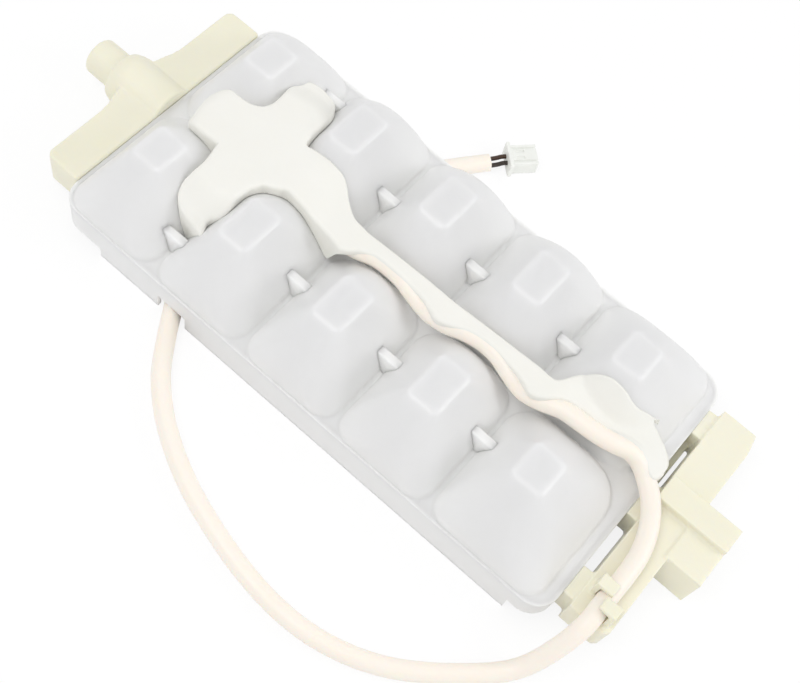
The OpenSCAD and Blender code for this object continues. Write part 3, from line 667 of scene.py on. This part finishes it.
def joined(name, sources, distance=0.0):
    """One mesh object of several. With a distance, points as near as that become one."""
    form = bmesh.new()
    for source in sources:
        form.from_mesh(source.data)
    if distance:
        bmesh.ops.remove_doubles(form, verts=form.verts, dist=distance)
        bmesh.ops.delete(form, geom=[v for v in form.verts if not v.link_faces], context="VERTS")
        bmesh.ops.recalc_face_normals(form, faces=form.faces)
    for source in sources:
        bpy.data.objects.remove(source)
    return made_from(form, name)


def thickened(piece, thickness, name):
    """A sheet given a wall on its inner side, as a plain closed mesh."""
    wall_of = piece.modifiers.new("wall", "SOLIDIFY")
    wall_of.thickness, wall_of.offset = thickness, -1
    return plain_piece(piece, name)


def soft_shading(piece, angle):
    smooth_faces(piece)
    piece.data.set_sharp_from_angle(angle=math.radians(angle))
    return piece


tray = joined("tray_skin", [tray, skin] + drive_cups, 0.01 * mm)
tray = thickened(tray, tray_wall * mm, "ice_tray_shell")

# Raised channels between the cups, through which the water runs when the tray is filled
weir_top, weir_y, sensor_weir_y = 21.8, 20.2, 34.6
weir_foot = (ledge_z - 0.6, 1.0, 2.3)               # height, reach along the row, half width
weir_crest = (weir_top, 5.2, 1.4)
weir_points, weir_faces = [], []
for i, x in enumerate((np.arange(4) - 1.5) * cup_pitch):
    for side in (-1, 1):
        y = side * (sensor_weir_y if i == 0 else weir_y)
        first = len(weir_points)
        weir_points += [(x + end * reach, y + edge * wide, z) for z, reach, wide in
            (weir_foot, weir_crest) for end in (-1, 1) for edge in (-1, 1)]
        weir_faces += [[first + k for k in face] for face in
            ((0, 1, 3, 2), (4, 6, 7, 5), (0, 4, 5, 1), (2, 3, 7, 6), (0, 2, 6, 4), (1, 5, 7, 3))]
weirs = mesh_object("weir_blocks", placed(weir_points), weir_faces)
edge = weirs.modifiers.new("edge", "BEVEL")
edge.width, edge.segments = 0.5 * mm, 3
weirs = plain_piece(weirs, "weirs")

tray = dressed(soft_shading(joined("ice_tray_piece", [tray, weirs]), 50), polypropylene)
# Each point's height share above the ledge, read by the tray's colour to paint light low down between the
# cups
height = tray.data.attributes.new("height", "FLOAT", "POINT")
height.data.foreach_set("value",
    [min(1, max(0, (v.co.z / mm - ledge_z) / cup_depth)) for v in tray.data.vertices])
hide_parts("ice_tray")
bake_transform(tray)


# ---- Rear bar with the pivot pin ---------------------------------------------------
# A cream moulded bar fixed to the tray's rear wall. A round boss swells out of its
# middle and carries the pin that the tray turns on. Below it has moulding pockets.
bar_w, bar_z, bar_top = 79, 3.6, 16
rear_bar_in, rear_bar_end, rear_swell = -88.7, -101.5, 2.5
pin_x, pin_end, pin_r, boss_r = -110, -120.7, 6.2, 9.3

cream_plastic = Finish("cream_plastic", {"Subsurface Weight": 0.3,
    "Subsurface Radius": (1.0, 0.85, 0.5), "Subsurface Scale": 0.002})
cream_plastic.colour(cream_plastic.blend(cream_plastic.noise(45, 3),
    shade(240, 237, 220), shade(235, 232, 210)))
cream_plastic.rough(0.4 + 0.12 * cream_plastic.noise(220, 2))
cream_plastic.bump(cream_plastic.noise(900, 3), 0.00004)


def plan_with_bump(x_in, x_out, half, bump, reach, chamfer):
    """Plan of a bar from x_in to x_out, with a smooth bump of its outer side around y = 0."""
    outer = []
    for y in np.linspace(-half, half, 80):
        rise = bump * math.exp(-(y / reach) ** 4)
        cut = max(0, abs(y) - half + chamfer)
        outer.append((x_out - math.copysign(cut, x_out - x_in) + math.copysign(rise, x_out - x_in), y))
    line = [(x_in, half), (x_in, -half)]
    plan = outer + line
    area = sum(a[0] * b[1] - b[0] * a[1] for a, b in zip(plan, plan[1:] + plan[:1]))
    return plan if area > 0 else plan[::-1]


def pockets(blocks, x0, x1, low, high):
    """Two open pockets on each side of a bar's middle, cut from below."""
    inner, outer, web = boss_r + 2.2, bar_w / 2 - 2.2, 2.2
    half_way = (inner + outer) / 2
    for side in (-1, 1):
        for y0, y1 in ((inner, half_way - web / 2), (half_way + web / 2, outer)):
            blocks.box((x0, min(side * y0, side * y1), low), (x1, max(side * y0, side * y1), high))
    return blocks


rear_solid = Blocks()
rear_solid.plan(plan_with_bump(rear_bar_in, rear_bar_end, bar_w / 2, rear_swell, 12.5, 1.6),
    bar_z, bar_top)
boss_places = np.linspace(pin_x, rear_bar_in, 16)
boss_radii = [boss_r * min(1, 0.86 + 0.14 * math.sin(min(1, (x - pin_x) / 5) * math.pi / 2))
    for x in boss_places]
rear_solid.round(boss_places, boss_radii, pivot_z)
rear_solid.round([pin_end, pin_end + 0.25, pin_end + 0.8, pin_x + 1],
    [pin_r - 0.9, pin_r - 0.35, pin_r, pin_r], pivot_z)
rear_hollow = pockets(Blocks(), rear_bar_end + 2.2, rear_bar_in - 2.2, bar_z - 1, bar_top - 2.2)
rear_bar = moulded("rear_bar_piece", rear_solid, rear_hollow, 0.45, 5, 0.4, cream_plastic)
rear_bar.data.transform(Matrix.Translation((middle_x * mm, 0, 0)))
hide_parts("rear_pivot_bar")
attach(rear_bar, "rear_side")


# ---- Drive bracket with the clip ----------------------------------------------------
# The same cream plastic. Ribs tie a bar to the tray's drive end and leave two slots; a
# square hub with a socket takes the drive shaft, and two fingers hold the cable down.
drive_bar_x, hub_x, hub_end, hub_half = 99.5, 112.5, 124, 10
hub_low, hub_top, hub_step = 0.2, 18.8, 2.2
slot_inner_y, slot_outer_y = 6.5, 27
clip_x, clip_low, finger_t, finger_w = 106, 16, 1.6, 4

drive_solid = Blocks()
half = bar_w / 2
drive_solid.plan([(drive_bar_x, -half), (hub_x - 1.6, -half), (hub_x, -half + 1.6), (hub_x, half - 6.6),
    (hub_x - 1.2, half), (drive_bar_x, half)], bar_z, bar_top)
drive_solid.box((drive_x, -slot_inner_y, bar_z), (drive_bar_x + 1, slot_inner_y, bar_top - 1))
for side in (-1, 1):
    near, far = sorted((side * slot_outer_y, side * (half - 2.5)))
    drive_solid.box((drive_x, near, bar_z), (drive_bar_x + 1, far, bar_top - 1))
drive_solid.box((drive_x, slot_inner_y - 1, bar_z), (drive_x + 2.2, slot_outer_y + 1, bar_z + 4))
drive_solid.box((hub_x - 1, -hub_half, hub_low), (hub_end, hub_half + 0.5, hub_top - hub_step))
drive_solid.box((drive_bar_x, 1.75, bar_z), (hub_end, hub_half + 0.5, hub_top))
for y, side in ((-30.4, -1), (-35.2, 1)):
    post = clip_x + side * (sleeve_d / 2 + 0.3)
    near, far = sorted((post, post + side * finger_t))
    drive_solid.box((near, y - finger_w / 2, clip_low - 1), (far, y + finger_w / 2, clip_low + 8))
    near, far = sorted((clip_x - side * 0.6, post + side * finger_t))
    drive_solid.box((near, y - finger_w / 2, clip_low + 6.3), (far, y + finger_w / 2, clip_low + 7.9))
drive_hollow = pockets(Blocks(), drive_bar_x + 2.2, hub_x - 2.2, bar_z - 1, bar_top - 2.2)
drive_hollow.round([hub_end - 14, hub_end + 1], [5, 5], pivot_z)
drive_hollow.box((hub_end - 13.5, -1.5, pivot_z - 6.6), (hub_end + 1, 1.5, pivot_z + 5.7))
drive_part = moulded("drive_bracket_piece", drive_solid, drive_hollow, 0.4, 3, 0.4, cream_plastic)
drive_part.data.transform(Matrix.Translation((middle_x * mm, 0, 0)))
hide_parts("drive_bracket")
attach(drive_part, "tray_side")


# ---- Sensor cover ---------------------------------------------------------------------
# One thin matte off-white moulding over the sensor and its cable. Its head has four
# arms that hug the gaps between the first four cups, its strip runs over the cable with
# three tabs, and its foot is a saddle on the last cup that leads the cable off the tray.
cover_wall = 0.9
sensor_x, head_top, head_drop, neck_drop = -52.5, 33.4, 5.4, 3.5
strip_top, foot_top, foot_slope, skirt_z = 29.9, 30, 6.4 / 38, 16.9
cover_outline = [(-61.3, -9), (-66.4, -9.3), (-72.7, -8.9), (-73.3, -6.9), (-74.3, -3.1), (-75.2, 2),
    (-74.6, 4.6), (-73.7, 6.7), (-71.7, 8), (-69, 8), (-66.4, 8.1), (-64.1, 8.5), (-62.3, 9.4),
    (-61.1, 10.4), (-60.3, 11.9), (-59.8, 13.7), (-60, 18), (-61.2, 22.5), (-62.1, 26.9),
    (-61.4, 29.1), (-59.3, 30.5), (-56.2, 31.3), (-51.9, 30.8), (-48.8, 29.8), (-46.4, 26.6),
    (-44.6, 22.8), (-43.9, 18.6), (-43.8, 15), (-43.6, 11.8), (-42.8, 9.7), (-39.5, 10.2),
    (-34.7, 10.7), (-30.9, 10.8), (-28.3, 10.4), (-25.5, 8.8), (-23, 6.6), (-19.3, 4), (-16.7, 2.8),
    (-13.9, 2.5), (-11.1, 2.2), (-6, 2.4), (0, 2.6), (10, 2.8), (20, 2.7), (28, 3.1), (36, 3.5),
    (47, 3.9), (52, 4.1), (55.2, 3.9), (57.7, 4.7), (60.2, 9), (61.6, 11), (63.4, 12.2),
    (64.9, 12.8), (66.8, 13.2), (69.3, 13.7), (72, 13.6), (74.9, 13.4), (76.9, 13.2), (79.6, 13.6),
    (82.3, 15.2), (84.7, 16.8), (87.1, 18.5), (90.1, 18.4), (92.5, 17.1), (95.2, 15.1), (96.8, 13),
    (97.1, 10.2), (97.2, 7.2), (96.4, 4), (95.4, 2.6), (93.4, 2.8), (91.5, 4), (89, 4.9), (86.4, 5),
    (82.4, 4.7), (79.5, 4.3), (76.4, 3.9), (73.4, 3.4), (69, 2.8), (65.6, 2.1), (63.4, 1.5), (61.2, 0.1),
    (58.3, -2.8), (55, -4.6), (51.6, -3.6), (48, -2.5), (44, -1.8), (40, -1.4), (36, -1.3),
    (32, -1.7), (28, -2.8), (24.5, -4.4), (21, -5.6), (17.5, -4.6), (14, -3.4),
    (9.7, -3), (5.2, -2.9), (-1.3, -2.8), (-5.9, -3.2), (-9.4, -4.8), (-11.7, -7), (-14.1, -8.1),
    (-18.4, -7.1), (-22.3, -6.7), (-26.3, -6.4), (-29.3, -6.1), (-32, -6.1), (-36.3, -6.1),
    (-38.2, -7.4), (-39.9, -8.6), (-42.2, -9.8), (-43.2, -12.1), (-43.9, -13.5), (-44.2, -17.6),
    (-44, -21.6), (-44.8, -24.5), (-46, -25.9), (-47, -27.6), (-44.9, -31.9), (-47.5, -31.4),
    (-49.5, -31), (-54.7, -30), (-56.8, -29), (-59.1, -27.2), (-60.4, -24.2), (-60.1, -21.2),
    (-59.7, -18.9), (-59.7, -16.2), (-60.3, -12.9)]
foot_edge = np.array([(85.5, 15.2), (86.9, 14.7), (89.8, 13.2), (92.2, 12.2), (94.7, 10.5),
    (96.4, 8.6), (97, 5)])
foot_base = np.array([(87.1, 18.5), (90.1, 18.4), (92.5, 17.1), (95.2, 15.1), (96.8, 13),
    (97.1, 10.2), (97.4, 7.2)])

matte_cover = Finish("matte_off_white", {"Subsurface Weight": 0.15,
    "Subsurface Radius": (1.0, 0.95, 0.85), "Subsurface Scale": 0.0012})
matte_cover.colour(matte_cover.blend(matte_cover.noise(60, 4),
    shade(241, 240, 235), shade(236, 235, 228)))
matte_cover.rough(0.58 + 0.15 * matte_cover.noise(200, 3))
matte_cover.bump(matte_cover.noise(700, 4), 0.00006)


def eased(t):
    t = np.clip(t, 0, 1)
    return t * t * (3 - 2 * t)


def cup_top(x, y):
    """Height of the cups' outer surface at places on the tray, the ledge between them included."""
    x, y = np.asarray(x, float), np.asarray(y, float)
    low, high = np.zeros(x.shape), np.ones(x.shape)
    number = np.clip(np.round(x / cup_pitch), -2, 2)
    at_end = np.abs(number) == 2
    along = np.abs(x - number * cup_pitch)
    across = np.abs(np.abs(y) - row_pitch / 2)
    outer = np.abs(y) > row_pitch / 2
    drive_end = (number == 2) & (x > number * cup_pitch)
    levels = [(end_bottom_w, end_bulge_across, drive_reach, drive_corner_r),
        (end_bottom_w, end_bulge_across, 0, inner_r), (bottom_w, bulge_across, 0, inner_r)]
    kind = np.where(drive_end, 0, np.where(at_end, 1, 2))
    for _ in range(22):
        u = (low + high) / 2
        each = np.stack([np.stack(cup_level(u, *level)) for level in levels])
        front, half_y, r_outer, r_inner = (np.choose(kind, each[:, k]) for k in (1, 2, 3, 6))
        r = np.where(outer, r_outer, r_inner)
        dx, dy = along - (front - r), across - (half_y - r)
        within = np.hypot(np.maximum(dx, 0), np.maximum(dy, 0)) + np.minimum(np.maximum(dx, dy), 0) < r
        low, high = np.where(within, u, low), np.where(within, high, u)
    return ledge_z + cup_depth * low


def nearest(points, line, closed):
    """Distance from each point to a line, and how far along the line its nearest place is."""
    line = np.array(line, float)
    ends = np.roll(line, -1, 0) if closed else line[1:]
    starts = line if closed else line[:-1]
    best, where = np.full(len(points), 1e9), np.zeros(len(points))
    for k, (a, b) in enumerate(zip(starts, ends)):
        step = b - a
        t = np.clip(((points - a) @ step) / (step @ step), 0, 1)
        gap = np.linalg.norm(points - a - t[:, None] * step, axis=1)
        closer = gap < best
        best, where = np.where(closer, gap, best), np.where(closer, k + t, where)
    return best, where


cable_line = smooth_line(held_route, 0.6)
skirt = np.vstack([foot_edge, foot_base[::-1]])


def cover_top(points):
    """Height of the cover's upper face, before its edge is rounded."""
    x, y = points[:, 0], points[:, 1]
    head = head_top - head_drop * eased((np.hypot(x - sensor_x, y) - 19) / 11)
    neck = head_top - neck_drop * eased((x + 37) / 16)
    z = np.where(x > -41, neck, head)
    foot = foot_top - foot_slope * np.maximum(0, x - 58.5)
    z = np.where(x > 20, np.minimum(foot, strip_top), z)
    z = np.maximum(z, np.where(x > 58, np.minimum(cup_top(x, y) + 1.3, 35.5), 0))
    gap, where = nearest(points, cable_line[:, :2], False)
    over = cable_line[np.clip(np.round(where).astype(int), 0, len(cable_line) - 1), 2]
    r = sleeve_d / 2 + 0.3
    z = np.maximum(z, np.where((gap < r) & (x > -44), over + np.sqrt(np.maximum(0, r * r - gap * gap)), 0))
    to_edge, to_base = nearest(points, foot_edge, False)[0], nearest(points, foot_base, False)[0]
    beyond = inside(points, skirt)
    fall = np.where(beyond, to_edge / (to_edge + to_base + 1e-6), 0)
    on_base = (to_base < 0.6) & (x > 86)
    fall = np.maximum(fall, np.where(on_base, 1, 0))
    return z + (skirt_z - z) * eased(fall * 1.05) ** 0.9


def inset_loop(loop, distance):
    """A closed clockwise loop moved inwards, without the points that come too near its edge."""
    ahead = np.roll(loop, -1, 0) - np.roll(loop, 1, 0)
    across = np.column_stack([ahead[:, 1], -ahead[:, 0]])
    moved = loop + distance * across / np.linalg.norm(across, axis=1)[:, None]
    return moved[(nearest(moved, loop, True)[0] > 0.93 * distance) & inside(moved, loop)]


edge_loop = smooth_line(cover_outline + cover_outline[:1], 0.9)[:-1]
edge_round = 1.1
spread = [inset_loop(edge_loop, d) for d in (0.12, 0.35, 0.7, edge_round)]
wide = np.stack(np.meshgrid(np.arange(-76, 98, 1.0), np.arange(-33, 33, 1.0)), -1).reshape(-1, 2)
wide = wide + np.where((np.round(wide[:, 1]) % 2 == 1)[:, None], (0.5, 0), (0, 0))
wide = wide[inside(wide, edge_loop)]
wide = wide[nearest(wide, edge_loop, True)[0] > 1.7]
flat_points, top_faces = filled([edge_loop], np.vstack(spread + [wide]))
to_rim = nearest(flat_points, edge_loop, True)[0]
sink = edge_round - np.sqrt(np.maximum(0, edge_round ** 2 - np.maximum(0, edge_round - to_rim) ** 2))
top_z = cover_top(flat_points)
cover_points = np.column_stack([flat_points, top_z - sink])

# The side walls go down from the rim to just above the cups, and a little way at the strip
count = len(edge_loop)
rim = cover_points[:count]
bottom = np.maximum(cup_top(rim[:, 0], rim[:, 1]) + 0.15, ledge_z + 0.3)
shallow = eased((rim[:, 0] + 20) / 8) * (1 - eased((rim[:, 0] - 84) / 4))
bottom = np.maximum(bottom, bottom + shallow * (rim[:, 2] - 1.3 - bottom))
bottom = np.minimum(bottom, rim[:, 2] - 0.25)
wall_rows = [rim + (bottom - rim[:, 2])[:, None] * np.array((0, 0, share)) for share in (0.15, 0.5, 1.0)]
all_points = np.vstack([cover_points] + wall_rows)
cover_faces = [list(face) for face in top_faces]
for j in range(3):
    upper = 0 if j == 0 else len(cover_points) + (j - 1) * count
    lower = len(cover_points) + j * count
    cover_faces += [[upper + i, upper + (i + 1) % count, lower + (i + 1) % count, lower + i]
        for i in range(count)]
cover_skin = joined("cover_skin", [mesh_object("cover_skin", placed(all_points), cover_faces)], 0.002 * mm)
cover = thickened(cover_skin, cover_wall * mm, "sensor_cover_piece")
cover = dressed(soft_shading(cover, 55), matte_cover)
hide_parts("sensor_cover")
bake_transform(cover)


# ---- Sensor under the cover -----------------------------------------------------------
# A dark potted capsule with a glass bead lies in the crossing of the first four cups.
# A soft foam pad between it and the cover presses it down and keeps the cold air off.
def copied(node, name, finish, step=0.0, passes=0):
    """A closed copy of a CAD solid, remeshed and rounded where a step is given."""
    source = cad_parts[node]
    form = bmesh.new()
    form.from_mesh(source.data)
    bmesh.ops.remove_doubles(form, verts=form.verts, dist=0.000001)
    made = made_from(form, name)
    if step:
        again = made.modifiers.new("again", "REMESH")
        again.mode, again.voxel_size = "VOXEL", step
        rounding = made.modifiers.new("round", "SMOOTH")
        rounding.factor, rounding.iterations = 0.5, passes
    return soft_shading(dressed(plain_piece(made, name), finish), 40)


foam = Finish("grey_foam", {"Roughness": 0.9})
foam.colour(foam.blend(foam.noise(900, 4), shade(120, 120, 122), shade(160, 160, 162)))
foam.rough(0.85 + 0.1 * foam.noise(600))
foam.bump(foam.noise(1400, 4), 0.0002)
pad = copied("insulation_pad", "foam_pad", foam, 0.0004, 3)
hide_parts("insulation_pad")
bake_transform(pad)

epoxy = Finish("potting_compound", {"Roughness": 0.35})
epoxy.colour(epoxy.blend(epoxy.noise(400, 3), shade(58, 58, 62), shade(72, 72, 74)))
epoxy.rough(0.3 + 0.2 * epoxy.noise(500))
capsule = copied("thermistor_capsule", "sensor_capsule", epoxy)
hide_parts("thermistor_capsule")
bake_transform(capsule)

glass_bead = Finish("dark_glass", {"Coat Weight": 0.6, "Coat Roughness": 0.05})
glass_bead.colour(glass_bead.blend(glass_bead.noise(900, 2), shade(40, 34, 30), shade(58, 48, 40)))
glass_bead.rough(0.12 + 0.1 * glass_bead.noise(1500))
bead = copied("thermistor_bead", "sensor_bead", glass_bead)
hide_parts("thermistor_bead")
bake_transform(bead)


# ---- Floor and light ----------------------------------------------------------------
# A plain white surface in a plain white studio. The camera sees the surface nearly
# white, with a trace of the object's shadow, and two small lights shade the forms.
floor_half, floor_glow, studio_strength = 3, 0.86, 0.78
light_size, light_power = 0.3, 1.35

floor_finish = Finish("white_surface", {"Specular IOR Level": 0.2})
floor_finish.colour(floor_finish.blend(floor_finish.noise(8),
    shade(252, 252, 252), shade(254, 254, 254)))
floor_finish.rough(0.7 + 0.1 * floor_finish.noise(60))
rays = [floor_finish.node("ShaderNodeLightPath", output=name)
    for name in ("Is Camera Ray", "Is Glossy Ray", "Is Transmission Ray")]
seen = floor_finish.sum("MAXIMUM", rays[0], floor_finish.sum("MAXIMUM", rays[1], rays[2]))
white = floor_finish.node("ShaderNodeEmission", inputs={"Strength": 1.0})
mixed = floor_finish.tree.nodes.new("ShaderNodeMixShader")
floor_finish.feed(mixed.inputs[0], seen * floor_glow)
floor_finish.tree.links.new(floor_finish.shader.outputs[0], mixed.inputs[1])
floor_finish.tree.links.new(white.socket, mixed.inputs[2])
floor_finish.tree.links.new(mixed.outputs[0],
    floor_finish.tree.nodes["Material Output"].inputs["Surface"])
floor = mesh_object("floor", [(-floor_half, -floor_half, 0), (floor_half, -floor_half, 0),
    (floor_half, floor_half, 0), (-floor_half, floor_half, 0)], [[0, 1, 2, 3]])
floor.data.materials.append(floor_finish.material)

world = bpy.data.worlds.new("studio")
bpy.context.scene.world = world
world.use_nodes = True
world.node_tree.nodes["Background"].inputs["Color"].default_value = (1.0, 1.0, 1.0, 1)
world.node_tree.nodes["Background"].inputs["Strength"].default_value = studio_strength


def soft_light(name, place):
    """A small square light that points at the middle of the object."""
    lamp = linked(name, bpy.data.lights.new(name, "AREA"))
    lamp.data.shape, lamp.data.size, lamp.data.energy = "SQUARE", light_size, light_power
    lamp.location = place
    lamp.rotation_euler = (-Vector(place)).to_track_quat("-Z", "Y").to_euler()


soft_light("near_light", (-0.13, -0.27, 0.72))
soft_light("side_light", (0.68, 0.33, 0.45))

bpy.context.scene.view_settings.view_transform = "Standard"
